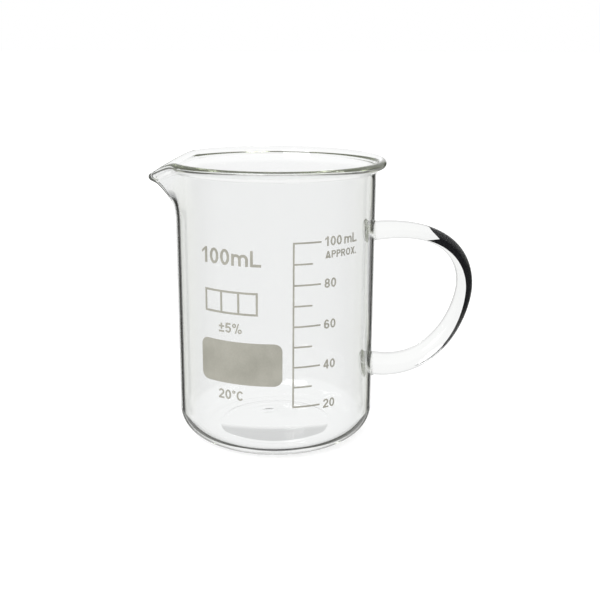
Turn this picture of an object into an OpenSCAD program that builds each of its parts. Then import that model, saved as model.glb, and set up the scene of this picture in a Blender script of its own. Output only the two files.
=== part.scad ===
// Low-form laboratory beaker with a welded glass handle.
// The origin is the middle of the base on the surface that the beaker stands on, and +Z is up.
// The handle lies along +X, the pouring spout points to -X and a little to +Y, and the graduation's
// upright line faces -Y.

/* [Vessel] */
// Outer diameter of the straight wall
body_d = 51; // [40:0.5:70]
// Height from the resting ring to the top of the rim
body_h = 72.2; // [66:0.1:100]
// Thickness of the wall
wall = 1.1; // [0.9:0.1:2]
// Outer radius of the corner between wall and base
corner_r = 6.8; // [4:0.1:9]
// Thickness of the floor above the resting ring
floor_t = 1.3; // [1.1:0.1:3]
// Diameter inside the resting ring, where the base is pushed up
punt_d = 31; // [20:0.5:31]
// Rise of the pushed-up base at its middle
punt_rise = 1.2; // [0.4:0.1:2]

/* [Rim and spout] */
// How far the rim stands out past the wall
rim_overhang = 2.5; // [2:0.05:3]
// Diameter of the fire-polished bead round the rim
bead_d = 2; // [1.5:0.1:2.4]
// Outer radius of the flare between wall and rim
flare_r = 3.5; // [2.5:0.1:5]
// How far the tip of the spout stands out past the wall
spout_overhang = 7.1; // [5.5:0.05:8.5]
// How far the spout's tip lies below the rim
spout_dip = 4.3; // [2:0.1:5]
// Radius of the spout's tip, seen from above
spout_tip_r = 2.7; // [2:0.1:4]
// Depth below the rim at which the wall starts to bend out into the spout
spout_depth = 16; // [13:0.1:18]
// Angle by which the spout is turned from straight opposite the handle, away from the graduation
spout_turn = 14.5; // [0:0.5:25]

/* [Handle] */
// Thickness of the glass rod where it is thinnest, on the upper shoulder
rod_t = 3.9; // [3.5:0.1:5]
// How much wider the rod is across the plane of the handle than in it
rod_flat = 0.8; // [0:0.1:2]
// Thickness of the rod where the upper arm meets its weld
upper_root_t = 5; // [4:0.1:6]
// Thickness of the rod where the lower arm meets its weld
lower_root_t = 6.2; // [5:0.1:7]
// Distance from the wall to the middle of the rod where the handle reaches furthest
handle_reach = 26.3; // [24:0.1:32]
// Height of that furthest point
grip_z = 37.1; // [33:0.1:40]
// Height of the middle of the upper weld
upper_arm_z = 52.7; // [50:0.1:54]
// Height of the middle of the lower weld
lower_arm_z = 16; // [14:0.1:18]
// How far the upper arm pulls the rod out before it turns down
upper_run = 20; // [16:0.5:22]
// How far the lower arm pulls the rod out before it turns up
lower_run = 18; // [14:0.5:20]
// How far the upright stretch pulls the rod up and down from its furthest point
grip_run = 7; // [5:0.5:10]
// How far the upper arm points up
upper_lift = 1.3; // [0:0.1:3]
// How far the lower arm points down
lower_sag = 3.2; // [0:0.1:4]
// How far each weld stands out round the end of the rod
weld_rim = 0.6; // [0.5:0.1:1.2]
// Thickness of a weld, measured out from the wall
weld_t = 1.5; // [1:0.1:2]

/* [Graduation] */
// Height of the lowest graduation, for 20 mL
scale_z20 = 14.8; // [12:0.1:18]
// Height between two neighbouring graduations, 10 mL apart
scale_step = 5.07; // [4:0.01:6]
// Length of a numbered graduation along the wall
long_tick = 6.8; // [5:0.1:8]
// Length of an unnumbered graduation along the wall
short_tick = 4.65; // [3:0.05:6]
// Thickness of the lines of the graduation
line_t = 0.4; // [0.3:0.05:0.6]
// Distance from the upright line to the start of the figures
figure_x = 7.8; // [7:0.1:9]
// Height of the figures of the graduation
figure_h = 2.3; // [1.8:0.05:3]
// Height of the letters of the word under the top figure
word_h = 1.75; // [1.2:0.05:2]
// Distance from the middle of the top figure down to the middle of that word
word_drop = 3.2; // [3:0.1:4.4]

/* [Other print] */
// Thickness of the fired enamel
ink_t = 0.1; // [0.06:0.02:0.2]
// Angle from the upright line to the middle of the column of marks, away from the handle
column_a = 34.9; // [32:0.1:40]
// Height of the middle of the capacity mark
capacity_z = 51.6; // [49:0.1:54]
// Height of the letters of the capacity mark
capacity_h = 3.85; // [3:0.05:4.5]
// Height of the middle of the ruled blank field
field_z = 40.6; // [39:0.1:42]
// Width of the ruled blank field along the wall
field_w = 14.2; // [10:0.1:16]
// Height of the ruled blank field
field_h = 5.7; // [4:0.1:7]
// Height of the middle of the tolerance mark
tolerance_z = 34.3; // [34:0.1:36]
// Height of the middle of the temperature mark
temperature_z = 17.3; // [16:0.1:18]
// Height of the tolerance and temperature marks
small_mark_h = 2.45; // [1.8:0.05:2.6]
// Height of the middle of the marking spot
spot_z = 25.6; // [24.5:0.1:26]
// Width of the marking spot along the wall
spot_w = 21.5; // [14:0.1:23]
// Height of the marking spot
spot_h = 10.7; // [8:0.1:12]
// Radius of the corners of the marking spot
spot_corner_r = 1.9; // [1:0.1:3]
// Angle from the upright line to the middle of the marking spot
spot_a = 30; // [28:0.1:34]

/* [Hidden] */

$fn = 96;
glass = [0.86, 0.91, 0.90, 0.35];
enamel = [0.65, 0.64, 0.59];

// Vessel
body_r = body_d / 2;
bore_r = body_r - wall;
punt_r = punt_d / 2;
dome_r = (punt_r * punt_r + punt_rise * punt_rise) / (2 * punt_rise);

// Rim and spout: the middle line of the glass in a radial section, from the wall to the bead
bead_r = bead_d / 2;
mid_r = body_r - wall / 2;
rim_mid_r = body_r + rim_overhang - bead_r;
rim_mid_z = body_h - bead_r;
bend_r = flare_r + wall / 2;
flare_a = acos((body_r + flare_r - rim_mid_r) / bend_r);
flare_z = rim_mid_z - bend_r * sin(flare_a);
lip_z = body_h - spout_depth;
straight_l = flare_z - lip_z;
middle_l = straight_l + bend_r * flare_a * PI / 180;
tip_mid_r = body_r + spout_overhang - bead_r;
tip_mid_z = rim_mid_z - spout_dip;
spout_curve = 1.9;
dip_curve = 0.64;
dip_ease = 0.02;

// Seen from above, the bead's middle is a circle with two tangents that meet in the rounded tip
tip_centre = tip_mid_r - spout_tip_r;
tangent_a = acos((rim_mid_r - spout_tip_r) / tip_centre);
tip_a = atan(spout_tip_r * sin(tangent_a) / (tip_centre + spout_tip_r * cos(tangent_a)));

// Sections round the lip are close together at the spout and wide apart elsewhere
lip_angles = concat(
    [for (a = [-180 : 6 : -36]) a], [for (a = [-32 : 4 : -12]) a], [for (a = [-9 : 1.5 : 9]) a],
    [for (a = [12 : 4 : 32]) a], [for (a = [36 : 6 : 174]) a]);
lip_rows = 10;
bead_steps = 6;
bead_start = 0.86;
seat = 0.03;
foot = 0.5;

// Handle: its middle line is two curves that meet upright at the furthest point, as [x, z]
weld_face_x = body_r + weld_t;
weld_edge_r = weld_t / 3;
grip_x = body_r + handle_reach;
upper_curve = [[weld_face_x, upper_arm_z], [weld_face_x + upper_run, upper_arm_z + upper_lift],
    [grip_x, grip_z + grip_run], [grip_x, grip_z]];
lower_curve = [[grip_x, grip_z], [grip_x, grip_z - grip_run],
    [weld_face_x + lower_run, lower_arm_z - lower_sag], [weld_face_x, lower_arm_z]];
curve_steps = 14;
thinnest = 0.24;
rod_sides = 24;

// Graduation and print
scale_top = scale_z20 + 8 * scale_step;
stroke = 0.17;
letter_gap = 0.14;
frame_line = 0.5;
field_cells = 3;
arc_step = 15;

module body_section() {
    difference() {
        union() {
            translate([0, corner_r]) square([body_r, lip_z - corner_r]);
            square([body_r - corner_r, lip_z]);
            translate([body_r - corner_r, corner_r]) circle(corner_r);
        }
        bore_section();
        translate([0, punt_rise - dome_r]) circle(dome_r);
        translate([-body_d, -body_h]) square([body_d, 3 * body_h]);
    }
}

module bore_section() {
    inner_r = corner_r - wall;
    difference() {
        union() {
            translate([0, floor_t + inner_r]) square([bore_r, lip_z]);
            translate([0, floor_t]) square([bore_r - inner_r, lip_z]);
            translate([bore_r - inner_r, floor_t + inner_r]) circle(inner_r);
        }
        translate([0, floor_t + punt_rise - dome_r]) circle(dome_r);
    }
}

// The plain rim's middle line: up the wall, then round the flare
function plain_rim(t) = let (l = t * middle_l)
    l <= straight_l ? [mid_r, lip_z + l]
    : let (a = (l - straight_l) / bend_r * 180 / PI)
        [body_r + flare_r - bend_r * cos(a), flare_z + bend_r * sin(a)];

// The spout's middle line: out of the wall in one sweep
function spout_rim(t) =
    [mid_r + (tip_mid_r - mid_r) * pow(t, spout_curve), lip_z + (tip_mid_z - lip_z) * t];

// How far the bead's middle is from the axis, at an angle from the spout
function bead_reach(a) = let (b = abs(a))
    b >= tangent_a ? rim_mid_r
    : b > tip_a ? rim_mid_r / cos(tangent_a - b)
    : tip_centre * cos(b) + sqrt(pow(spout_tip_r, 2) - pow(tip_centre * sin(b), 2));

function spout_share(a) = max(0, (bead_reach(a) - rim_mid_r) / (tip_mid_r - rim_mid_r));

// The rim starts to dip before it moves out, so the height follows the share by a curve of its own,
// eased where it starts
function dip_share(g) = let (start = pow(dip_ease, dip_curve), end = pow(1 + dip_ease, dip_curve))
    (pow(g + dip_ease, dip_curve) - start) / (end - start);

function middle(t, g) = let (p = plain_rim(t), q = spout_rim(t), h = dip_share(g))
    [p.x + (q.x - p.x) * g, p.y + (q.y - p.y) * h];

function middle_dir(t, g) = let (e = 0.002,
    d = middle(min(1, t + e), g) - middle(max(0, t - e), g)) d / norm(d);

function half_wall(t) = let (u = max(0, (t - bead_start) / (1 - bead_start)))
    wall / 2 + (bead_r - wall / 2) * u * u * (3 - 2 * u);

// A radial section of the lip: from its foot inside the wall, up the outside, over the bead and down
function lip_section(g) = concat(
    [[mid_r + wall / 4, lip_z - foot]],
    [for (i = [0 : lip_rows]) let (t = i / lip_rows, d = i == 0 ? [0, 1] : middle_dir(t, g))
        middle(t, g) + half_wall(t) * [d.y, -d.x] + (i == 0 ? [-seat, seat] : [0, 0])],
    [for (k = [1 : bead_steps - 1]) let (d = middle_dir(1, g), a = -90 + 180 * k / bead_steps)
        middle(1, g) + bead_r * (cos(a) * d + sin(a) * [-d.y, d.x])],
    [for (i = [lip_rows : -1 : 0]) let (t = i / lip_rows, d = i == 0 ? [0, 1] : middle_dir(t, g))
        middle(t, g) - half_wall(t) * [d.y, -d.x] + (i == 0 ? [2 * seat, seat] : [0, 0])],
    [[mid_r - wall / 4, lip_z - foot]]);

module lip() {
    sections = [for (a = lip_angles) lip_section(spout_share(a))];
    m = len(sections[0]);
    n = len(lip_angles);
    points = [for (j = [0 : n - 1]) for (p = sections[j])
        [-p.x * cos(lip_angles[j]), -p.x * sin(lip_angles[j]), p.y]];
    faces = [for (j = [0 : n - 1]) for (i = [0 : m - 1])
        let (a = j * m + i, b = j * m + (i + 1) % m,
            c = ((j + 1) % n) * m + (i + 1) % m, d = ((j + 1) % n) * m + i)
        each [[a, b, c], [a, c, d]]];
    polyhedron(points, faces, convexity = 6);
}

module vessel() {
    color(glass) {
        rotate_extrude() body_section();
        rotate([0, 0, -spout_turn]) lip();
    }
}

function curve_point(c, t) = pow(1 - t, 3) * c[0] + 3 * pow(1 - t, 2) * t * c[1]
    + 3 * (1 - t) * t * t * c[2] + pow(t, 3) * c[3];

function curve_dir(c, t) = let (v = pow(1 - t, 2) * (c[1] - c[0]) + 2 * (1 - t) * t * (c[2] - c[1])
    + t * t * (c[3] - c[2])) v / norm(v);

// The rod is thinnest on the upper shoulder and thickens towards both welds; u runs from 0 to 1
function rod_thickness(u) = u < thinnest ? rod_t + (upper_root_t - rod_t) * pow(1 - u / thinnest, 2)
    : rod_t + (lower_root_t - rod_t) * pow((u - thinnest) / (1 - thinnest), 2);

// Stations along the rod: the middle, the direction and the thickness
function handle_line() = [for (k = [0 : 2 * curve_steps])
    let (c = k <= curve_steps ? upper_curve : lower_curve,
        t = (k <= curve_steps ? k : k - curve_steps) / curve_steps,
        d = k == 0 ? [1, 0] : k == 2 * curve_steps ? [-1, 0] : curve_dir(c, t))
    [curve_point(c, t), d, rod_thickness(k / (2 * curve_steps))]];

// The rod's section: round edges with a short flat between them, [across the plane, in the plane]
function rod_section(t) = [for (i = [0 : rod_sides - 1]) let (a = (i + 0.5) * 360 / rod_sides)
    [t / 2 * cos(a) + rod_flat / 2 * sign(cos(a)), t / 2 * sin(a)]];

module handle() {
    line = handle_line();
    n = len(line);
    m = rod_sides;
    points = [for (q = line) for (p = rod_section(q[2]))
        [q[0].x - p.y * q[1].y, p.x, q[0].y + p.y * q[1].x]];
    sides = [for (j = [0 : n - 2]) for (i = [0 : m - 1])
        let (a = j * m + i, b = j * m + (i + 1) % m) each [[a, b, b + m], [a, b + m, a + m]]];
    ends = [[for (i = [m - 1 : -1 : 0]) i], [for (i = [0 : m - 1]) (n - 1) * m + i]];
    color(glass) polyhedron(points, concat(sides, ends), convexity = 6);
}

// A round pad with a rolled edge, moulded to the wall, for an end of the rod that is t thick
module weld(z, t) {
    r = (t + rod_flat) / 2 + weld_rim;
    color(glass) difference() {
        translate([0, 0, z]) rotate([0, 90, 0]) rotate_extrude() {
            square([r - weld_edge_r, weld_face_x]);
            translate([0, body_r / 2]) square([r, weld_face_x - weld_edge_r - body_r / 2]);
            translate([r - weld_edge_r, weld_face_x - weld_edge_r]) circle(weld_edge_r);
        }
        translate([0, 0, z - 2 * r]) cylinder(r = body_r, h = 4 * r);
    }
}

// Print: a flat shape stands at an angle from the upright line, and only its skin on the wall stays
module ink_skin() {
    difference() {
        translate([0, 0, corner_r]) cylinder(r = body_r + ink_t, h = flare_z - corner_r);
        cylinder(r = body_r, h = body_h);
    }
}

module facing(a, z) {
    rotate([0, 0, a]) translate([0, 0, z]) rotate([90, 0, 0]) linear_extrude(body_r + 1) children();
}

// A band of enamel along the wall, from one distance to another measured from the upright line
module ink_band(x0, x1, z0, z1, spare = 0) {
    a0 = arc_a(x0);
    rotate([0, 0, a0 - 90]) rotate_extrude(angle = arc_a(x1) - a0)
        translate([body_r - spare, z0]) square([ink_t + 2 * spare, z1 - z0]);
}

function arc_a(x) = x / body_r * 180 / PI;

module scale_line() {
    color(enamel) ink_band(-line_t / 2, line_t / 2, scale_z20 - line_t / 2, scale_top + line_t / 2);
}

// Every second graduation carries a figure and is long
module graduations(first, count, length) {
    color(enamel) for (i = [0 : count - 1]) let (z = scale_z20 + (first + 2 * i) * scale_step)
        ink_band(line_t / 2, length, z - line_t / 2, z + line_t / 2);
}

// Glyphs: plain condensed sans letters of height h, drawn from their lower left corner
function glyph_w(c) =
    c == "1" ? 0.42 : c == "m" ? 1.08 : c == "L" ? 0.68 : c == "A" ? 0.84 : c == "P" ? 0.68
    : c == "R" ? 0.74 : c == "O" ? 0.82 : c == "X" ? 0.76 : c == "." ? 0.2 : c == " " ? 0.1
    : c == "C" ? 0.74 : c == "d" ? 0.34 : c == "+" ? 0.6 : c == "%" ? 1 : 0.64;

function gap_after(c) = c == "1" ? letter_gap + 0.1 : letter_gap;

// Where letter i of a word starts, and the width of the whole word, in letter heights
function start_of(word, i) = i == 0 ? 0
    : start_of(word, i - 1) + glyph_w(word[i - 1]) + gap_after(word[i - 1]);

function word_w(word) = let (n = len(word) - 1) start_of(word, n) + glyph_w(word[n]);

// Points on an oval arc about c, from one angle to another
function arc(c, rx, ry, from, to) = let (n = ceil(abs(to - from) / arc_step))
    [for (k = [0 : n]) let (a = from + (to - from) * k / n) [c.x + rx * cos(a), c.y + ry * sin(a)]];

// A stroke of width s along the inside of that arc
module arc_stroke(c, rx, ry, from, to, s) {
    polygon(concat(arc(c, rx, ry, from, to), arc(c, rx - s, ry - s, to, from)));
}

module oval(w, h) {
    polygon([for (a = [0 : arc_step : 359]) [w / 2 * (1 + cos(a)), h / 2 * (1 + sin(a))]]);
}

module oval_ring(w, h, s) {
    difference() {
        oval(w, h);
        translate([s, s]) oval(w - 2 * s, h - 2 * s);
    }
}

module glyph(c, h) {
    w = glyph_w(c) * h;
    s = stroke * h;
    if (c == "0" || c == "O") oval_ring(w, h, s);
    if (c == "1") glyph_one(w, h, s);
    if (c == "2") glyph_two(w, h, s);
    if (c == "4") glyph_four(w, h, s);
    if (c == "5") glyph_five(w, h, s);
    if (c == "6") glyph_six(w, h, s);
    if (c == "8") glyph_eight(w, h, s);
    if (c == "m") glyph_m(w, 0.74 * h, s);
    if (c == "L") glyph_l(w, h, s);
    if (c == "A") glyph_a(w, h, s);
    if (c == "P" || c == "R") glyph_p(min(w, 0.68 * h), h, s);
    if (c == "R") polygon([[0.36 * w, 0.48 * h], [w - 1.2 * s, 0], [w, 0], [0.36 * w + 1.3 * s, 0.48 * h]]);
    if (c == "X") glyph_x(w, h, s);
    if (c == ".") square(1.15 * s);
    if (c == "C") glyph_c(w, h, s);
    if (c == "d") translate([0, h - w]) oval_ring(w, w, 0.65 * s);
    if (c == "+") glyph_plus_minus(w, h, s);
    if (c == "%") glyph_percent(w, h, s);
}

module glyph_one(w, h, s) {
    translate([w - s, 0]) square([s, h]);
    polygon([[w - 0.7 * s, h], [0, 0.77 * h], [0, 0.6 * h], [w - s, 0.8 * h]]);
}

module glyph_two(w, h, s) {
    r = w / 2;
    tail_a = -38;
    out = [r + r * cos(tail_a), h - r + r * sin(tail_a)];
    in = [r + (r - s) * cos(tail_a), h - r + (r - s) * sin(tail_a)];
    polygon(concat([[0, 0], [w, 0], [w, s], [1.4 * s, s]], arc([r, h - r], r, r, tail_a, 170),
        arc([r, h - r], r - s, r - s, 170, tail_a), [[0, 0.9 * s]]));
}

module glyph_four(w, h, s) {
    foot = 0.2 * h;
    stem_x = w - 0.11 * h - s;
    difference() {
        polygon([[0, foot], [0, foot + 1.1 * s], [stem_x, h], [stem_x + s, h], [stem_x + s, foot + s],
            [w, foot + s], [w, foot], [stem_x + s, foot], [stem_x + s, 0], [stem_x, 0], [stem_x, foot]]);
        polygon([[s, foot + s], [stem_x, foot + s], [stem_x, 0.72 * h]]);
    }
}

module glyph_five(w, h, s) {
    r = 0.33 * h;
    polygon([[0.1 * w, h], [0.92 * w, h], [0.92 * w, h - s], [0.1 * w + s, h - s],
        [0.06 * w + s, 0.45 * h], [0.03 * w, 0.45 * h]]);
    arc_stroke([w / 2, r], w / 2, r, -160, 145, s);
}

module glyph_six(w, h, s) {
    oval_ring(w, 0.63 * h, s);
    arc_stroke([w / 2, h / 2], w / 2, h / 2, 40, 200, s);
}

module glyph_eight(w, h, s) {
    low = 0.57 * h;
    oval_ring(w, low, s);
    translate([0.05 * w, low - 0.9 * s]) oval_ring(0.9 * w, h - low + 0.9 * s, s);
}

module glyph_m(w, h, s) {
    arch_r = (w + s) / 4;
    for (x = [0, 2 * arch_r - s])
        polygon(concat([[x + 2 * arch_r, 0]], arc([x + arch_r, h - arch_r], arch_r, arch_r, 0, 180),
            arc([x + arch_r, h - arch_r], arch_r - s, arch_r - s, 180, 0), [[x + 2 * arch_r - s, 0]]));
    square([s, h]);
}

module glyph_l(w, h, s) {
    polygon([[0, 0], [w, 0], [w, s], [s, s], [s, h], [0, h]]);
}

module glyph_a(w, h, s) {
    bar_z = 0.2 * h;
    difference() {
        polygon([[0, 0], [w / 2 - 0.6 * s, h], [w / 2 + 0.6 * s, h], [w, 0]]);
        polygon([[1.15 * s, -s], [w / 2, bar_z - 0.4 * s], [w - 1.15 * s, -s]]);
        polygon([[w / 2 - 0.8 * s, bar_z + s], [w / 2, h - 1.7 * s], [w / 2 + 0.8 * s, bar_z + s]]);
    }
}

module glyph_p(w, h, s) {
    r = 0.29 * h;
    square([s, h]);
    polygon(concat([[s / 2, h]], arc([w - r, h - r], r, r, 90, -90), [[s / 2, h - 2 * r], [s / 2, h - 2 * r + s]],
        arc([w - r, h - r], r - s, r - s, -90, 90), [[s / 2, h - s]]));
}

module glyph_x(w, h, s) {
    polygon([[0, 0], [1.2 * s, 0], [w / 2, h / 2 - s], [w - 1.2 * s, 0], [w, 0], [w / 2 + 0.7 * s, h / 2],
        [w, h], [w - 1.2 * s, h], [w / 2, h / 2 + s], [1.2 * s, h], [0, h], [w / 2 - 0.7 * s, h / 2]]);
}

module glyph_c(w, h, s) {
    arc_stroke([w / 2, h / 2], w / 2, h / 2, 38, 322, s);
}

module glyph_plus_minus(w, h, s) {
    square([w, s]);
    translate([0, 0.6 * h - s / 2]) square([w, s]);
    translate([w / 2 - s / 2, 0.6 * h - w / 2]) square([s, w]);
}

module glyph_percent(w, h, s) {
    d = 0.46 * h;
    translate([0, h - d]) oval_ring(0.9 * d, d, 0.75 * s);
    translate([w - 0.9 * d, 0]) oval_ring(0.9 * d, d, 0.75 * s);
    polygon([[0.27 * w, 0], [0.27 * w + 0.8 * s, 0], [0.73 * w, h], [0.73 * w - 0.8 * s, h]]);
}

// A word on the wall: x is the distance from the upright line to its left end, z its middle height
module word(letters, x, z, h) {
    color(enamel) for (i = [0 : len(letters) - 1]) if (letters[i] != " ") intersection() {
        w = glyph_w(letters[i]) * h;
        ink_skin();
        facing(arc_a(x + start_of(letters, i) * h + w / 2), z - h / 2)
            translate([-w / 2, 0]) glyph(letters[i], h);
    }
}

module centred_word(letters, a, z, h) {
    word(letters, -a / 180 * PI * body_r - word_w(letters) * h / 2, z, h);
}

module figure(value, i) {
    word(value, figure_x, scale_z20 + i * scale_step, figure_h);
}

// The word stands centred under the top figure
module approx_word() {
    inset = (word_w("100 mL") * figure_h - word_w("APPROX.") * word_h) / 2;
    word("APPROX.", figure_x + inset, scale_top - word_drop, word_h);
}

module capacity_mark() {
    centred_word("100mL", column_a, capacity_z, capacity_h);
}

// Letter "+" stands for plus-minus, and letter "d" for the degree ring
module tolerance_mark() {
    centred_word("+5%", column_a, tolerance_z, small_mark_h);
}

module temperature_mark() {
    centred_word("20dC", column_a, temperature_z, small_mark_h);
}

// A plain frame of blank cells
module blank_field() {
    x0 = -column_a / 180 * PI * body_r - field_w / 2;
    z0 = field_z - field_h / 2;
    cell = (field_w - frame_line) / field_cells;
    color(enamel) difference() {
        ink_band(x0, x0 + field_w, z0, z0 + field_h);
        for (i = [0 : field_cells - 1])
            ink_band(x0 + i * cell + frame_line, x0 + (i + 1) * cell, z0 + frame_line,
                z0 + field_h - frame_line, 1);
    }
}

module marking_spot() {
    w = 2 * body_r * sin(arc_a(spot_w) / 2);
    r = spot_corner_r;
    corners = [[w / 2 - r, spot_h / 2 - r], [r - w / 2, spot_h / 2 - r], [r - w / 2, r - spot_h / 2],
        [w / 2 - r, r - spot_h / 2]];
    color(enamel) intersection() {
        ink_skin();
        facing(-spot_a, spot_z)
            polygon([for (k = [0 : 3]) each arc(corners[k], r, r, 90 * k, 90 * k + 90)]);
    }
}

vessel();
handle();
weld(upper_arm_z, upper_root_t);  // upper_weld
weld(lower_arm_z, lower_root_t);  // lower_weld
scale_line();
graduations(0, 5, long_tick);  // long_graduations
graduations(1, 4, short_tick);  // short_graduations
figure("20", 0);  // figure_20
figure("40", 2);  // figure_40
figure("60", 4);  // figure_60
figure("80", 6);  // figure_80
figure("100 mL", 8);  // figure_100_ml
approx_word();
capacity_mark();
blank_field();
tolerance_mark();
marking_spot();
temperature_mark();
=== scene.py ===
"""Looks of the glass laboratory beaker: clear blown glass, welded rod handle and fired grey print."""

import math

import bpy
from mathutils import Matrix, Vector

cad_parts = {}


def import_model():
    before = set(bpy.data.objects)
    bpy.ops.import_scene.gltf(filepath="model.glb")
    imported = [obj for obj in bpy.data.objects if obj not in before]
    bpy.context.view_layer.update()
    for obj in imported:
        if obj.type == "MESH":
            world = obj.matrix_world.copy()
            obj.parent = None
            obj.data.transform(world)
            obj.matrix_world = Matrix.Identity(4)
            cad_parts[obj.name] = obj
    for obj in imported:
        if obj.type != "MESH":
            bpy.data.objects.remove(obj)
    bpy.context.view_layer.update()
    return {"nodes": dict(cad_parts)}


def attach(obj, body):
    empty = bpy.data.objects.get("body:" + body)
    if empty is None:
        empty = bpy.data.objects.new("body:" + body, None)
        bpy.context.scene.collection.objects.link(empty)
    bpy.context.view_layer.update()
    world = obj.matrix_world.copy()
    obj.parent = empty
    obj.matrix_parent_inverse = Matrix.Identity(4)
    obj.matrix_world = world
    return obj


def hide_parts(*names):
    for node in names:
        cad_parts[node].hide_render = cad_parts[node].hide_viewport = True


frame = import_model()
nodes = frame["nodes"]

MM = 0.001
TAU = 2 * math.pi

# ---------------------------------------------------------------- sizes, in millimetres

# The glass lies this far inside the print, so that the two surfaces never meet
SKIN = 0.03
BODY_R = 25.5 - SKIN
BODY_H = 72.2
WALL = 1.1
CORNER_R = 6.8
FLOOR_T = 1.3
# The base is pushed up in its middle
PUNT_R = 15.5
PUNT_RISE = 1.2

# Faint steps that the mould left in the floor, as radius and height, and a mark behind its middle
MOULD_STEPS = ((16.6, 0.07), (14.6, -0.06), (13.4, 0.05))
MOULD_STEP_W = 0.45
MARK_X, MARK_Y, MARK_R, MARK_H = -1.0, 6.2, 1.5, 0.09
MARK_STRETCH = 1.6
MARK_DISH = 1.6

RIM_OVERHANG = 2.5
BEAD_R = 1.0
FLARE_R = 3.5
SPOUT_OVERHANG = 7.1
SPOUT_DIP = 4.3
SPOUT_TIP_R = 2.7
SPOUT_DEPTH = 16.0
SPOUT_TURN = math.radians(14.5)
# Curves, without a unit: how late the spout bends out, how early its rim dips, where the bead starts
SPOUT_CURVE = 1.9
DIP_CURVE = 0.64
DIP_EASE = 0.02
BEAD_START = 0.86

ROD_T = 3.9
# The rod is wider by this across the plane of the handle, and its sides ease into the round edges
ROD_FLAT = 0.8
FLAT_EASE = 4
UPPER_ROOT_T = 5.0
LOWER_ROOT_T = 6.2
# The furthest point lies 0.02 inside the one of the CAD, which keeps the glass in the CAD's box
GRIP_X = 51.78
GRIP_Z = 37.1
GRIP_RUN = 7
UPPER_Z = 52.7
UPPER_RUN = 20
UPPER_LIFT = 1.3
LOWER_Z = 16.0
LOWER_RUN = 18
LOWER_SAG = 3.2
# The share of the rod's length at which it is thinnest
THINNEST = 0.24
WELD_RIM = 0.6
WELD_T = 1.5

# ---------------------------------------------------------------- how finely the meshes are divided

LIP_ROWS = 44
BEAD_STEPS = 18
CORNER_STEPS = 20
WALL_ROWS = 12
RING_ROWS = 5
PUNT_STEPS = 24
FLOOR_STEPS = 48
# The difference along the lip's middle line from which its direction is taken
NUDGE = 0.002
# Degrees between sections near the spout, how many lie on either side of it, and how many elsewhere
FINE_STEP = 0.75
FINE_STEPS = 48
COARSE_STEPS = 144

CURVE_STEPS = 44
ROD_SIDES = 40
FOOT_ROWS = 8

# ---------------------------------------------------------------- meshes


def smooth_object(name, points, faces):
    """A smooth mesh object from points in millimetres."""
    mesh = bpy.data.meshes.new(name)
    mesh.from_pydata([Vector(p) * MM for p in points], [], faces)
    mesh.validate()
    mesh.polygons.foreach_set("use_smooth", [True] * len(mesh.polygons))
    piece = bpy.data.objects.new(name, mesh)
    bpy.context.scene.collection.objects.link(piece)
    return piece


# ---------------------------------------------------------------- the vessel

MID_R = BODY_R - WALL / 2
BORE_R = BODY_R - WALL
RIM_MID_R = BODY_R + RIM_OVERHANG - BEAD_R
RIM_MID_Z = BODY_H - BEAD_R
BEND_R = FLARE_R + WALL / 2
FLARE_A = math.acos((BODY_R + FLARE_R - RIM_MID_R) / BEND_R)
FLARE_Z = RIM_MID_Z - BEND_R * math.sin(FLARE_A)
LIP_Z = BODY_H - SPOUT_DEPTH
STRAIGHT_L = FLARE_Z - LIP_Z
MIDDLE_L = STRAIGHT_L + BEND_R * FLARE_A
TIP_MID_R = BODY_R + SPOUT_OVERHANG - BEAD_R
TIP_MID_Z = RIM_MID_Z - SPOUT_DIP
TIP_CENTRE = TIP_MID_R - SPOUT_TIP_R
TANGENT_A = math.acos((RIM_MID_R - SPOUT_TIP_R) / TIP_CENTRE)
TIP_A = math.atan2(SPOUT_TIP_R * math.sin(TANGENT_A), TIP_CENTRE + SPOUT_TIP_R * math.cos(TANGENT_A))
INNER_CORNER_R = CORNER_R - WALL
PUNT_DOME_R = (PUNT_R**2 + PUNT_RISE**2) / (2 * PUNT_RISE)
PUNT_HALF_A = math.degrees(math.asin(PUNT_R / PUNT_DOME_R))
FLOOR_PEAK_Z = FLOOR_T + PUNT_RISE


def arc(centre, radius, start, end, steps):
    """Points on an arc in the radial plane, in degrees, both ends included."""
    turns = [math.radians(start + (end - start) * k / steps) for k in range(steps + 1)]
    return [(centre[0] + radius * math.cos(t), centre[1] + radius * math.sin(t)) for t in turns]


def plain_rim(t):
    """The plain rim's middle line: up the wall, then round the flare."""
    length = t * MIDDLE_L
    if length <= STRAIGHT_L:
        return MID_R, LIP_Z + length
    a = (length - STRAIGHT_L) / BEND_R
    return BODY_R + FLARE_R - BEND_R * math.cos(a), FLARE_Z + BEND_R * math.sin(a)


def spout_rim(t):
    """The spout's middle line: out of the wall in one sweep."""
    return MID_R + (TIP_MID_R - MID_R) * t**SPOUT_CURVE, LIP_Z + (TIP_MID_Z - LIP_Z) * t


def spout_share(a):
    """0 on the plain rim and 1 at the spout's tip, for an angle from the spout in radians."""
    b = abs(a)
    if b >= TANGENT_A:
        reach = RIM_MID_R
    elif b > TIP_A:
        reach = RIM_MID_R / math.cos(TANGENT_A - b)
    else:
        reach = TIP_CENTRE * math.cos(b) + math.sqrt(SPOUT_TIP_R**2 - (TIP_CENTRE * math.sin(b)) ** 2)
    return max(0.0, (reach - RIM_MID_R) / (TIP_MID_R - RIM_MID_R))


def dip_share(share):
    """The share of the spout's dip, which comes before the share of its reach."""
    start, end = DIP_EASE**DIP_CURVE, (1 + DIP_EASE) ** DIP_CURVE
    return ((share + DIP_EASE) ** DIP_CURVE - start) / (end - start)


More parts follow.
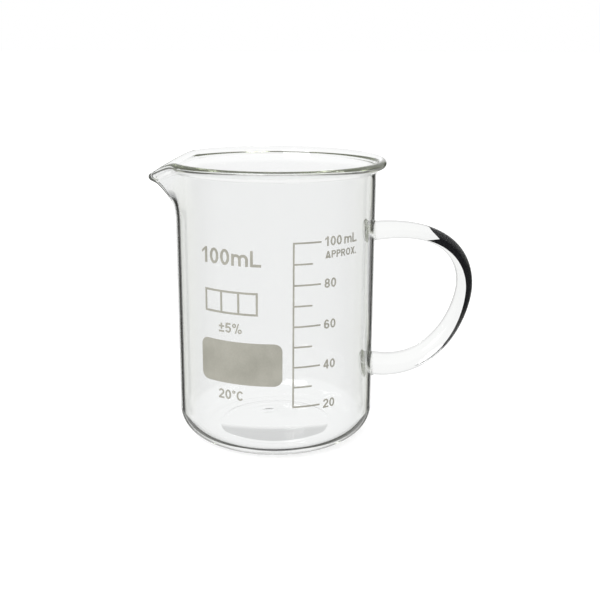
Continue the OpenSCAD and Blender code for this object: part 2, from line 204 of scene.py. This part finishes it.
def middle(t, share):
    """The middle line of the glass in a radial section, from the lip's foot to the bead."""
    (plain_r, plain_z), (spout_r, spout_z) = plain_rim(t), spout_rim(t)
    dip = dip_share(share)
    return Vector((plain_r + (spout_r - plain_r) * share, plain_z + (spout_z - plain_z) * dip))


def along_lip(t, share):
    """The middle line's direction: straight up the wall at the lip's foot."""
    if t == 0:
        return Vector((0, 1))
    return (middle(min(1, t + NUDGE), share) - middle(max(0, t - NUDGE), share)).normalized()


def half_wall(t):
    """Half the thickness of the glass, which swells into the bead."""
    u = max(0.0, (t - BEAD_START) / (1 - BEAD_START))
    return WALL / 2 + (BEAD_R - WALL / 2) * u * u * (3 - 2 * u)


def lip_section(share):
    """The lip's outline in a radial section: up the outside, over the bead and down the inside."""
    outside, inside = [], []
    for i in range(LIP_ROWS + 1):
        t = i / LIP_ROWS
        along = along_lip(t, share)
        out = Vector((along.y, -along.x)) * half_wall(t)
        outside.append(middle(t, share) + out)
        inside.append(middle(t, share) - out)
    along = along_lip(1, share)
    across = Vector((along.y, -along.x))
    over = []
    for k in range(1, BEAD_STEPS):
        a = math.pi * k / BEAD_STEPS - math.pi / 2
        over.append(middle(1, share) + BEAD_R * (math.cos(a) * along - math.sin(a) * across))
    return [tuple(p) for p in outside + over + inside[::-1]]


def base_outside():
    """From the middle of the pushed-up base out to the wall, up to the lip's foot."""
    punt = arc((0, PUNT_RISE - PUNT_DOME_R), PUNT_DOME_R, 90, 90 - PUNT_HALF_A, PUNT_STEPS)[1:]
    ring_w = BODY_R - CORNER_R - PUNT_R
    ring = [(PUNT_R + ring_w * k / RING_ROWS, 0) for k in range(1, RING_ROWS)]
    corner = arc((BODY_R - CORNER_R, CORNER_R), CORNER_R, -90, 0, CORNER_STEPS)
    wall = [(BODY_R, CORNER_R + (LIP_Z - CORNER_R) * k / WALL_ROWS) for k in range(1, WALL_ROWS)]
    return punt + ring + corner + wall


def base_inside():
    """Down the bore and over the floor to its middle."""
    corner_x = BORE_R - INNER_CORNER_R
    wall_h = LIP_Z - FLOOR_T - INNER_CORNER_R
    wall = [(BORE_R, LIP_Z - wall_h * k / WALL_ROWS) for k in range(1, WALL_ROWS)]
    corner = arc((corner_x, FLOOR_T + INNER_CORNER_R), INNER_CORNER_R, 0, -90, CORNER_STEPS)
    ring_w = PUNT_R - BORE_R + INNER_CORNER_R
    ring = [(corner_x + ring_w * k / RING_ROWS, FLOOR_T) for k in range(1, RING_ROWS)]
    dome_z = FLOOR_T + PUNT_RISE - PUNT_DOME_R
    floor_dome = arc((0, dome_z), PUNT_DOME_R, 90 - PUNT_HALF_A, 90, FLOOR_STEPS)[:-1]
    return wall + corner + ring + floor_dome


def floor_relief(x, y, z):
    """The height that the mould marks add to a point of the inside; none well above the floor."""
    if z > FLOOR_PEAK_Z + FLOOR_T:
        return 0.0
    r = math.hypot(x, y)
    steps = sum(h / 2 * (1 - math.tanh((r - edge) / MOULD_STEP_W)) for edge, h in MOULD_STEPS)
    away = math.hypot((x - MARK_X) / MARK_STRETCH, y - MARK_Y) / MARK_R
    return steps + MARK_H * (1 - MARK_DISH * away**2) * math.exp(-(away**2))


def lip_angles():
    """Angles from the spout round the vessel, close together where the spout is."""
    fine = [math.radians(FINE_STEP * k) for k in range(-FINE_STEPS, FINE_STEPS + 1)]
    start = fine[-1]
    step = (TAU - 2 * start) / COARSE_STEPS
    return fine + [start + step * k for k in range(1, COARSE_STEPS)]


def vessel():
    """The blown glass: one closed surface through radial sections all round."""
    below, above = base_outside(), base_inside()
    angles = lip_angles()
    columns, rows = len(angles), len(below) + len(lip_section(0)) + len(above)
    points = []
    for a in angles:
        turn = math.pi + a - SPOUT_TURN
        for i, (r, z) in enumerate(below + lip_section(spout_share(a)) + above):
            x, y = r * math.cos(turn), r * math.sin(turn)
            inside = i >= rows - len(above)
            points.append((x, y, z + floor_relief(x, y, z) if inside else z))

    bottom, top = len(points), len(points) + 1
    points += [(0, 0, PUNT_RISE), (0, 0, FLOOR_PEAK_Z + floor_relief(0, 0, FLOOR_PEAK_Z))]
    pairs = [(j * rows, (j + 1) % columns * rows) for j in range(columns)]
    faces = [(a + i, b + i, b + i + 1, a + i + 1) for a, b in pairs for i in range(rows - 1)]
    for a, b in pairs:
        faces.append((bottom, b, a))
        faces.append((top, a + rows - 1, b + rows - 1))
    return smooth_object("glass_vessel", points, faces)


# ---------------------------------------------------------------- the handle

FACE_X = BODY_R + WELD_T
# The middle line, as [x, z]: two curves that meet upright at the furthest point
UPPER_CURVE = [
    Vector((FACE_X, UPPER_Z)),
    Vector((FACE_X + UPPER_RUN, UPPER_Z + UPPER_LIFT)),
    Vector((GRIP_X, GRIP_Z + GRIP_RUN)),
    Vector((GRIP_X, GRIP_Z)),
]
LOWER_CURVE = [
    Vector((GRIP_X, GRIP_Z)),
    Vector((GRIP_X, GRIP_Z - GRIP_RUN)),
    Vector((FACE_X + LOWER_RUN, LOWER_Z - LOWER_SAG)),
    Vector((FACE_X, LOWER_Z)),
]


def bezier(c, t):
    """A point on the curve of four points c, for t from 0 to 1."""
    s = 1 - t
    return s**3 * c[0] + 3 * s * s * t * c[1] + 3 * s * t * t * c[2] + t**3 * c[3]


def bezier_dir(c, t):
    """The curve's direction at t."""
    s = 1 - t
    return (s * s * (c[1] - c[0]) + 2 * s * t * (c[2] - c[1]) + t * t * (c[3] - c[2])).normalized()


def rod_thickness(u):
    """The rod is thinnest on the upper shoulder and thickens towards both welds; u runs from 0 to 1."""
    if u < THINNEST:
        return ROD_T + (UPPER_ROOT_T - ROD_T) * (1 - u / THINNEST) ** 2
    return ROD_T + (LOWER_ROOT_T - ROD_T) * ((u - THINNEST) / (1 - THINNEST)) ** 2


def rod_section(half_t):
    """Round edges with nearly flat sides between them, as points across the handle's plane and in it."""
    section = []
    for i in range(ROD_SIDES):
        a = TAU * (i + 0.5) / ROD_SIDES
        across = half_t * math.cos(a) + ROD_FLAT / 2 * math.tanh(FLAT_EASE * math.cos(a))
        section.append((across, half_t * math.sin(a)))
    return section


def rod_ring(centre, along, thickness):
    """The rod's section, set square to its middle line."""
    ring = []
    for across, inplane in rod_section(thickness / 2):
        ring.append((centre.x - inplane * along.y, across, centre.y + inplane * along.x))
    return ring


def foot_rings(z, thickness, outward):
    """Rings that spread the end of the rod over the wall, from the wall outwards."""
    rings = []
    for k in range(FOOT_ROWS):
        v = k / FOOT_ROWS
        ring = []
        for across, up in rod_section(thickness / 2 + WELD_RIM * (1 - v) ** 2):
            wall_x = math.sqrt((BODY_R + SKIN / 2) ** 2 - across * across)
            ring.append((wall_x + (FACE_X - wall_x) * v, across, z + up * outward))
        rings.append(ring)
    return rings


def rod_rings():
    """Rings along the rod between its welds, square to the welds' faces at both ends."""
    rings = []
    last = 2 * CURVE_STEPS
    for k in range(last + 1):
        upper = k <= CURVE_STEPS
        curve = UPPER_CURVE if upper else LOWER_CURVE
        t = (k if upper else k - CURVE_STEPS) / CURVE_STEPS
        along = bezier_dir(curve, t)
        if k in (0, last):
            along = Vector((1 if upper else -1, 0))
        rings.append(rod_ring(bezier(curve, t), along, rod_thickness(k / last)))
    return rings


def handle():
    """The rod with both welds: one closed surface with flat ends on the wall."""
    upper_foot = foot_rings(UPPER_Z, UPPER_ROOT_T, 1)
    lower_foot = foot_rings(LOWER_Z, LOWER_ROOT_T, -1)
    rings = upper_foot + rod_rings() + lower_foot[::-1]
    points = [p for ring in rings for p in ring]
    faces = []
    for j in range(len(rings) - 1):
        a, b = j * ROD_SIDES, (j + 1) * ROD_SIDES
        for i in range(ROD_SIDES):
            k = (i + 1) % ROD_SIDES
            faces.append((a + i, a + k, b + k, b + i))
    last = len(points) - ROD_SIDES
    faces.append(tuple(range(ROD_SIDES))[::-1])
    faces.append(tuple(range(last, last + ROD_SIDES)))
    piece = smooth_object("glass_handle", points, faces)
    for face in list(piece.data.polygons)[-2:]:
        face.use_smooth = False
    return piece


# ---------------------------------------------------------------- nodes


class Nodes:
    """A short way to build a material's nodes."""

    def __init__(self, name):
        self.material = bpy.data.materials.new(name)
        self.material.use_nodes = True
        self.tree = self.material.node_tree
        self.tree.nodes.clear()
        self.output = self.tree.nodes.new("ShaderNodeOutputMaterial")

    def add(self, kind, **inputs):
        """A new node; an input's name has underscores for spaces."""
        node = self.tree.nodes.new(kind)
        for name, value in inputs.items():
            self.put(node, name.replace("_", " "), value)
        return node

    def put(self, node, name, value):
        """Links a socket to the named input, or sets the input to a plain value."""
        feed(self.tree, node.inputs[name], value)


def feed(tree, socket, value):
    """Links the value to the socket if it is one itself, or else sets the socket to it."""
    if isinstance(value, bpy.types.NodeSocket):
        tree.links.new(value, socket)
    else:
        socket.default_value = value


def maths(tree, kind, *values):
    """A math node's result; the values are numbers or sockets."""
    node = tree.nodes.new("ShaderNodeMath")
    node.operation = kind
    for socket, value in zip(node.inputs, values):
        feed(tree, socket, value)
    return node.outputs[0]


def ramp(tree, value, start, end):
    """0 at the start and 1 at the end, and held beyond them."""
    share = maths(tree, "DIVIDE", maths(tree, "SUBTRACT", value, start), end - start)
    return maths(tree, "MINIMUM", maths(tree, "MAXIMUM", share, 0.0), 1.0)


def mixed(tree, share, a, b):
    """a where the share is 0, b where it is 1."""
    return maths(tree, "ADD", a, maths(tree, "MULTIPLY", share, maths(tree, "SUBTRACT", b, a)))


def below_count(tree, depth, count):
    """1 where one of Light Path's depths, a whole number, is below the count, and 0 from it on."""
    return maths(tree, "LESS_THAN", depth, count - 0.5)


def reached(tree, depth, count):
    """1 where one of Light Path's depths has reached the count, and 0 below it."""
    return maths(tree, "SUBTRACT", 1.0, below_count(tree, depth, count))


def set_stops(node, *stops):
    """Gives the two stops of a colour ramp their positions and colours."""
    for stop, (position, colour) in zip(node.color_ramp.elements, stops):
        stop.position = position
        stop.color = colour


# ---------------------------------------------------------------- materials

GLASS_TINT = (0.99, 0.995, 0.995)
GLASS_VOLUME = (0.70, 0.74, 0.58, 1)
ENAMEL_DARK, ENAMEL_PALE = (0.36, 0.352, 0.30, 1), (0.46, 0.45, 0.39, 1)
ENAMEL_GRAIN = 0.45


def glass_material(name, edge_start, edge_shade):
    """Clear glass; the rim of each round form takes the edge's shade, a painted shade that grows with the
    facing angle and outlines it from any side.
    """
    build = Nodes(name)
    facing = build.add("ShaderNodeLayerWeight", Blend=0.5)
    tint = build.add("ShaderNodeValToRGB", Fac=facing.outputs["Facing"])
    # The rim's colour is painted shade, darker as the surface turns edge-on
    painted_edge_colour = [edge_shade * level for level in GLASS_TINT]
    set_stops(tint, (edge_start, (*GLASS_TINT, 1)), (1.0, (*painted_edge_colour, 1)))
    place = build.add("ShaderNodeTexCoord")
    stretch = build.add("ShaderNodeMapping", Vector=place.outputs["Object"], Scale=(1, 1, 0.3))
    waves = build.add("ShaderNodeTexNoise", Vector=stretch.outputs["Vector"], Scale=60.0, Detail=2.0)
    bump = build.add("ShaderNodeBump", Height=waves.outputs["Fac"], Strength=0.12, Distance=0.00002)
    shader = build.add("ShaderNodeBsdfPrincipled", Roughness=0.0, IOR=1.47, Transmission_Weight=1.0)
    build.put(shader, "Base Color", tint.outputs["Color"])
    build.put(shader, "Normal", bump.outputs["Normal"])
    absorb = build.add("ShaderNodeVolumeAbsorption", Color=GLASS_VOLUME, Density=8.0)
    build.put(build.output, "Surface", shader.outputs["BSDF"])
    build.put(build.output, "Volume", absorb.outputs["Volume"])
    return build.material


def enamel_material():
    """Fired grey print: fine grain over soft clouds."""
    build = Nodes("fired_enamel")
    place = build.add("ShaderNodeTexCoord")
    grain = build.add("ShaderNodeTexNoise", Vector=place.outputs["Object"], Scale=2600.0, Detail=3.0)
    cloud = build.add("ShaderNodeTexNoise", Vector=place.outputs["Object"], Scale=160.0, Detail=2.0)
    mottle = maths(build.tree, "MULTIPLY_ADD", grain.outputs["Fac"], ENAMEL_GRAIN, cloud.outputs["Fac"])
    shades = build.add("ShaderNodeValToRGB", Fac=mottle)
    set_stops(shades, (0.45, ENAMEL_DARK), (0.95, ENAMEL_PALE))
    bump = build.add("ShaderNodeBump", Height=grain.outputs["Fac"], Strength=0.3, Distance=0.00003)
    shader = build.add("ShaderNodeBsdfPrincipled", Roughness=0.55, IOR=1.5)
    build.put(shader, "Base Color", shades.outputs["Color"])
    build.put(shader, "Normal", bump.outputs["Normal"])
    build.put(build.output, "Surface", shader.outputs["BSDF"])
    return build.material


# ---------------------------------------------------------------- camera, in metres and radians

CAM_TURN = math.radians(-9.4)
CAM_DISTANCE = 0.2440
CAM_HEIGHT = 0.10174
CAM_PITCH = 0.2672
CAM_YAW = 0.0260
CAM_ROLL = math.radians(0.35)
LENS = 57.85
SENSOR = 36.0


def camera():
    """The camera stands in front of the graduation, turned about the vessel's axis by CAM_TURN."""
    data = bpy.data.cameras.new("camera")
    data.sensor_width = SENSOR
    data.lens = LENS
    data.clip_start = 0.01
    data.clip_end = 100.0
    piece = bpy.data.objects.new("camera", data)
    bpy.context.scene.collection.objects.link(piece)
    stand = Matrix.Rotation(CAM_TURN, 4, "Z") @ Matrix.Translation((0, -CAM_DISTANCE, CAM_HEIGHT))
    aim = Matrix.Rotation(-CAM_YAW, 4, "Z") @ Matrix.Rotation(math.pi / 2 - CAM_PITCH, 4, "X")
    piece.matrix_world = stand @ aim @ Matrix.Rotation(CAM_ROLL, 4, "Z")
    bpy.context.scene.camera = piece


# ---------------------------------------------------------------- the studio's surroundings

# What rays see of the studio. The camera sees white, and glass passes a white background on. What
# glass reflects, outside or within, is the room: a background behind the object, a black card on
# either side of it, pale sides, a darker front, a ceiling above and a table below. It stays where it
# is when the camera moves. The levels from here on are strengths, of which 1 is white
BRIGHT = 1.0
PASSED_ON = 0.993
SIDES, FRONT, CARD = 0.75, 0.3, 0.05
SIDES_WITHIN, FRONT_WITHIN, CARD_WITHIN = 0.5, 0.06, 0.012
# A second reflection within sees an evened room, and so does light piped along the glass by more
TWICE_WITHIN = 0.26
PIPED = 0.26
PIPED_FROM, PIPED_TO = 2.4, 4.0
# The table close under the object, in the background's direction, where painted shade of the object's
# foot darkens it
FOOT_SHADE_LEVEL = 0.06
WITHIN_TINT = (0.97, 1.0, 0.82, 1)

# Bearings on either side of the background's middle, which lies a little to the spout's side
BACKGROUND_SIDE = math.radians(1.5)
BACKGROUND_END = math.radians(20)
CARD_END = math.radians(34)
BEARING_SOFT = math.radians(2.5)
SIDES_END, FRONT_START = math.radians(60), math.radians(75)

# Heights of a direction, from -1 straight down to 1 straight up
FOOT_SHADE_END, TABLE_START = -0.91, -0.82
TABLE_TOP, CARD_FOOT = -0.62, -0.5
SIDES_FOOT, SIDES_FULL = -0.45, -0.35
CEILING_START, CEILING_END = 0.0, 0.3


def bearing_aside(tree, across, depth):
    """How far a direction's bearing is from the background's middle, on either side."""
    bearing = maths(tree, "ARCTAN2", maths(tree, "MULTIPLY", across, -1.0), depth)
    return maths(tree, "ABSOLUTE", maths(tree, "SUBTRACT", bearing, CAM_TURN + BACKGROUND_SIDE))


def world():
    """The surroundings, by a ray's direction and by how often it passed or was reflected by a surface."""
    studio = bpy.data.worlds.new("studio")
    bpy.context.scene.world = studio
    studio.use_nodes = True
    tree = studio.node_tree
    tree.nodes.clear()
    path = tree.nodes.new("ShaderNodeLightPath")
    within = reached(tree, path.outputs["Transmission Depth"], 1)
    mirrored = reached(tree, path.outputs["Glossy Depth"], 1)
    twice = reached(tree, path.outputs["Glossy Depth"], 2)
    piped = ramp(tree, path.outputs["Glossy Depth"], PIPED_FROM, PIPED_TO)

    place = tree.nodes.new("ShaderNodeTexCoord")
    split = tree.nodes.new("ShaderNodeSeparateXYZ")
    tree.links.new(place.outputs["Generated"], split.inputs[0])
    aside = bearing_aside(tree, split.outputs["X"], split.outputs["Y"])
    height = split.outputs["Z"]
    at_back = ramp(tree, aside, BACKGROUND_END + BEARING_SOFT, BACKGROUND_END)
    beyond_foot_shade = ramp(tree, height, FOOT_SHADE_END, TABLE_START)
    above_table = ramp(tree, height, TABLE_TOP, CARD_FOOT)
    at_card = maths(tree, "MULTIPLY", ramp(tree, aside, CARD_END + BEARING_SOFT, CARD_END), above_table)
    at_side = ramp(tree, aside, FRONT_START, SIDES_END)
    side_above = maths(tree, "MULTIPLY", at_side, ramp(tree, height, SIDES_FOOT, SIDES_FULL))
    at_ceiling = ramp(tree, height, CEILING_START, CEILING_END)

    once_within = mixed(tree, side_above, FRONT_WITHIN, SIDES_WITHIN)
    room_within = mixed(tree, twice, once_within, TWICE_WITHIN)
    room = mixed(tree, within, mixed(tree, at_side, FRONT, SIDES), room_within)
    level = mixed(tree, at_card, room, mixed(tree, within, CARD, CARD_WITHIN))
    level = mixed(tree, at_ceiling, level, PASSED_ON)
    # In the background's direction, the table straight below takes the painted shade of the foot
    level = mixed(tree, at_back, level, mixed(tree, beyond_foot_shade, FOOT_SHADE_LEVEL, PASSED_ON))
    level = mixed(tree, piped, level, PIPED)
    level = mixed(tree, mirrored, mixed(tree, within, BRIGHT, PASSED_ON), level)

    tinted = maths(tree, "MULTIPLY", within, mirrored)
    for pale in (at_back, at_ceiling):
        tinted = maths(tree, "MULTIPLY", tinted, maths(tree, "SUBTRACT", 1.0, pale))
    tint = tree.nodes.new("ShaderNodeMix")
    tint.data_type = "RGBA"
    tree.links.new(tinted, tint.inputs["Factor"])
    plain, tinge = [socket for socket in tint.inputs if socket.type == "RGBA"]
    plain.default_value = (1, 1, 1, 1)
    tinge.default_value = WITHIN_TINT
    colour = [socket for socket in tint.outputs if socket.type == "RGBA"][0]

    back = tree.nodes.new("ShaderNodeBackground")
    tree.links.new(level, back.inputs["Strength"])
    tree.links.new(colour, back.inputs["Color"])
    out = tree.nodes.new("ShaderNodeOutputWorld")
    tree.links.new(back.outputs["Background"], out.inputs["Surface"])


# ---------------------------------------------------------------- stage pieces, in millimetres

RAYS = ("camera", "diffuse", "glossy", "transmission", "volume_scatter", "shadow")

# The shaded table under the front of the pushed-up base: a half disc with a soft, curved back edge.
# It lies between the base and the floor
TABLE_Z = -0.05
SHADE_R = 14.4
SHADE_STEPS = 40
SHADE_SIDE = -0.35
SHADE_BACK = -4.4
SHADE_BEND = 2.2
SHADE_SOFT = 1.2
SHADE_TONE = 0.66

# The black card stands this far behind the vessel's axis. Its outer edge runs from its upper tip to
# its lower one and its inner edge back to a notch, both as curves of four points, across and up
FLAG_DEPTH = 20.5
FLAG_OUTER = [Vector(p) for p in ((44.8, 55.5), (56.3, 49.0), (57.2, 26.0), (36.0, 18.5))]
FLAG_INNER = [Vector(p) for p in ((36.0, 18.5), (42.5, 36.0), (38.0, 45.5), (45.4, 47.6))]
FLAG_STEPS = 24
FLAG_COLOUR = (0.0, 0.0, 0.002)

FLOOR_HALF = 6000
FLOOR_Z = -0.1
FLOOR_GREY = 0.45
FLOOR_GLOW = 0.72


def flat_piece(name, points, material, rays, turn=0.0):
    """A stage piece with one face, turned about the vessel's axis, that only the named rays see."""
    mesh = bpy.data.meshes.new(name)
    mesh.from_pydata([Vector(p) * MM for p in points], [], [tuple(range(len(points)))])
    mesh.materials.append(material)
    piece = bpy.data.objects.new(name, mesh)
    piece.rotation_euler = (0, 0, turn)
    bpy.context.scene.collection.objects.link(piece)
    for kind in RAYS:
        setattr(piece, "visible_" + kind, kind in rays)


def path_material(name, colour, share):
    """Light of one colour where share(tree, path) is 1, and clear where it is 0."""
    build = Nodes(name)
    path = build.add("ShaderNodeLightPath")
    glow = build.add("ShaderNodeEmission", Color=(*colour, 1), Strength=1.0)
    clear = build.add("ShaderNodeBsdfTransparent")
    mix = build.add("ShaderNodeMixShader", Fac=share(build.tree, path))
    build.tree.links.new(clear.outputs[0], mix.inputs[1])
    build.tree.links.new(glow.outputs[0], mix.inputs[2])
    build.put(build.output, "Surface", mix.outputs[0])
    return build.material


def table_shade():
    """Only rays that come down through the glass, without a reflection, see the shaded table."""

    def share(tree, path):
        place = tree.nodes.new("ShaderNodeTexCoord")
        split = tree.nodes.new("ShaderNodeSeparateXYZ")
        tree.links.new(place.outputs["Object"], split.inputs[0])
        across = maths(tree, "MULTIPLY", split.outputs["X"], 1 / (SHADE_R * MM))
        bend = maths(tree, "MULTIPLY", maths(tree, "MULTIPLY", across, across), SHADE_BEND * MM)
        depth = maths(tree, "SUBTRACT", split.outputs["Y"], bend)
        front = ramp(tree, depth, (SHADE_BACK + SHADE_SOFT) * MM, (SHADE_BACK - SHADE_SOFT) * MM)
        return maths(tree, "MULTIPLY", front, below_count(tree, path.outputs["Glossy Depth"], 1))

    grey = path_material("table_shade", (SHADE_TONE, SHADE_TONE, SHADE_TONE), share)
    half = [math.pi * k / SHADE_STEPS for k in range(SHADE_STEPS + 1)]
    disc = [(SHADE_SIDE - SHADE_R * math.cos(a), -SHADE_R * math.sin(a), TABLE_Z) for a in half]
    flat_piece("table_shade", disc, grey, ("transmission",), CAM_TURN)


def handle_flag():
    """A black card close behind the handle, as photographers set to give clear glass an edge."""

    def share(tree, path):
        # In through one surface of the rod and out through the other
        return below_count(tree, path.outputs["Transmission Depth"], 3)

    card = path_material("black_card", FLAG_COLOUR, share)
    outer = [bezier(FLAG_OUTER, k / FLAG_STEPS) for k in range(FLAG_STEPS + 1)]
    inner = [bezier(FLAG_INNER, k / FLAG_STEPS) for k in range(1, FLAG_STEPS + 1)]
    outline = [(x, FLAG_DEPTH, z) for x, z in outer + inner]
    flat_piece("handle_flag", outline, card, ("transmission",), CAM_TURN)


def floor():
    """A pale floor: the camera sees it as white where no shadow lies."""
    build = Nodes("pale_floor")
    path = build.add("ShaderNodeLightPath")
    seen = maths(build.tree, "MULTIPLY", path.outputs["Is Camera Ray"], FLOOR_GLOW)
    glow = build.add("ShaderNodeEmission", Color=(1, 1, 1, 1), Strength=seen)
    matt = build.add("ShaderNodeBsdfDiffuse", Color=(FLOOR_GREY, FLOOR_GREY, FLOOR_GREY, 1))
    both = build.add("ShaderNodeAddShader")
    build.tree.links.new(glow.outputs[0], both.inputs[0])
    build.tree.links.new(matt.outputs[0], both.inputs[1])
    build.put(build.output, "Surface", both.outputs[0])
    corners = [(x * FLOOR_HALF, y * FLOOR_HALF, FLOOR_Z) for x, y in ((-1, -1), (1, -1), (1, 1), (-1, 1))]
    flat_piece("floor", corners, build.material, ("camera", "diffuse", "shadow"))


def lamp(name, spot, target, size, power):
    """A soft rectangular lamp that faces its target, in metres and watts."""
    data = bpy.data.lights.new(name, "AREA")
    data.shape = "RECTANGLE"
    data.size, data.size_y = size
    data.energy = power
    piece = bpy.data.objects.new(name, data)
    piece.location = spot
    piece.rotation_euler = (Vector(target) - Vector(spot)).to_track_quat("-Z", "Y").to_euler()
    bpy.context.scene.collection.objects.link(piece)


# ---------------------------------------------------------------- build

BOUNCES = 256
WELDED_NODES = ["handle", "upper_weld", "lower_weld"]

camera()
enamel = enamel_material()
# Each glass paints shade on its rims, the rod's nearly black
wall_glass = glass_material("borosilicate_glass", edge_start=0.86, edge_shade=0.8)
rod_glass = glass_material("borosilicate_rod", edge_start=0.45, edge_shade=0.1)

for piece, stands_for, glass in (
    (vessel(), ["vessel"], wall_glass),
    (handle(), WELDED_NODES, rod_glass),
):
    piece.data.materials.append(glass)
    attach(piece, "root")
    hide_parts(*stands_for)

for name, node in nodes.items():
    if name not in ["vessel"] + WELDED_NODES:
        for slot in node.material_slots:
            slot.material = enamel

world()
floor()
table_shade()
handle_flag()
lamp("key", spot=(-0.6, -0.7, 0.9), target=(0, 0, 0.04), size=(0.6, 0.6), power=6.0)

scene = bpy.context.scene
scene.view_settings.view_transform = "Standard"
scene.cycles.max_bounces = BOUNCES
scene.cycles.transmission_bounces = BOUNCES
scene.cycles.glossy_bounces = BOUNCES
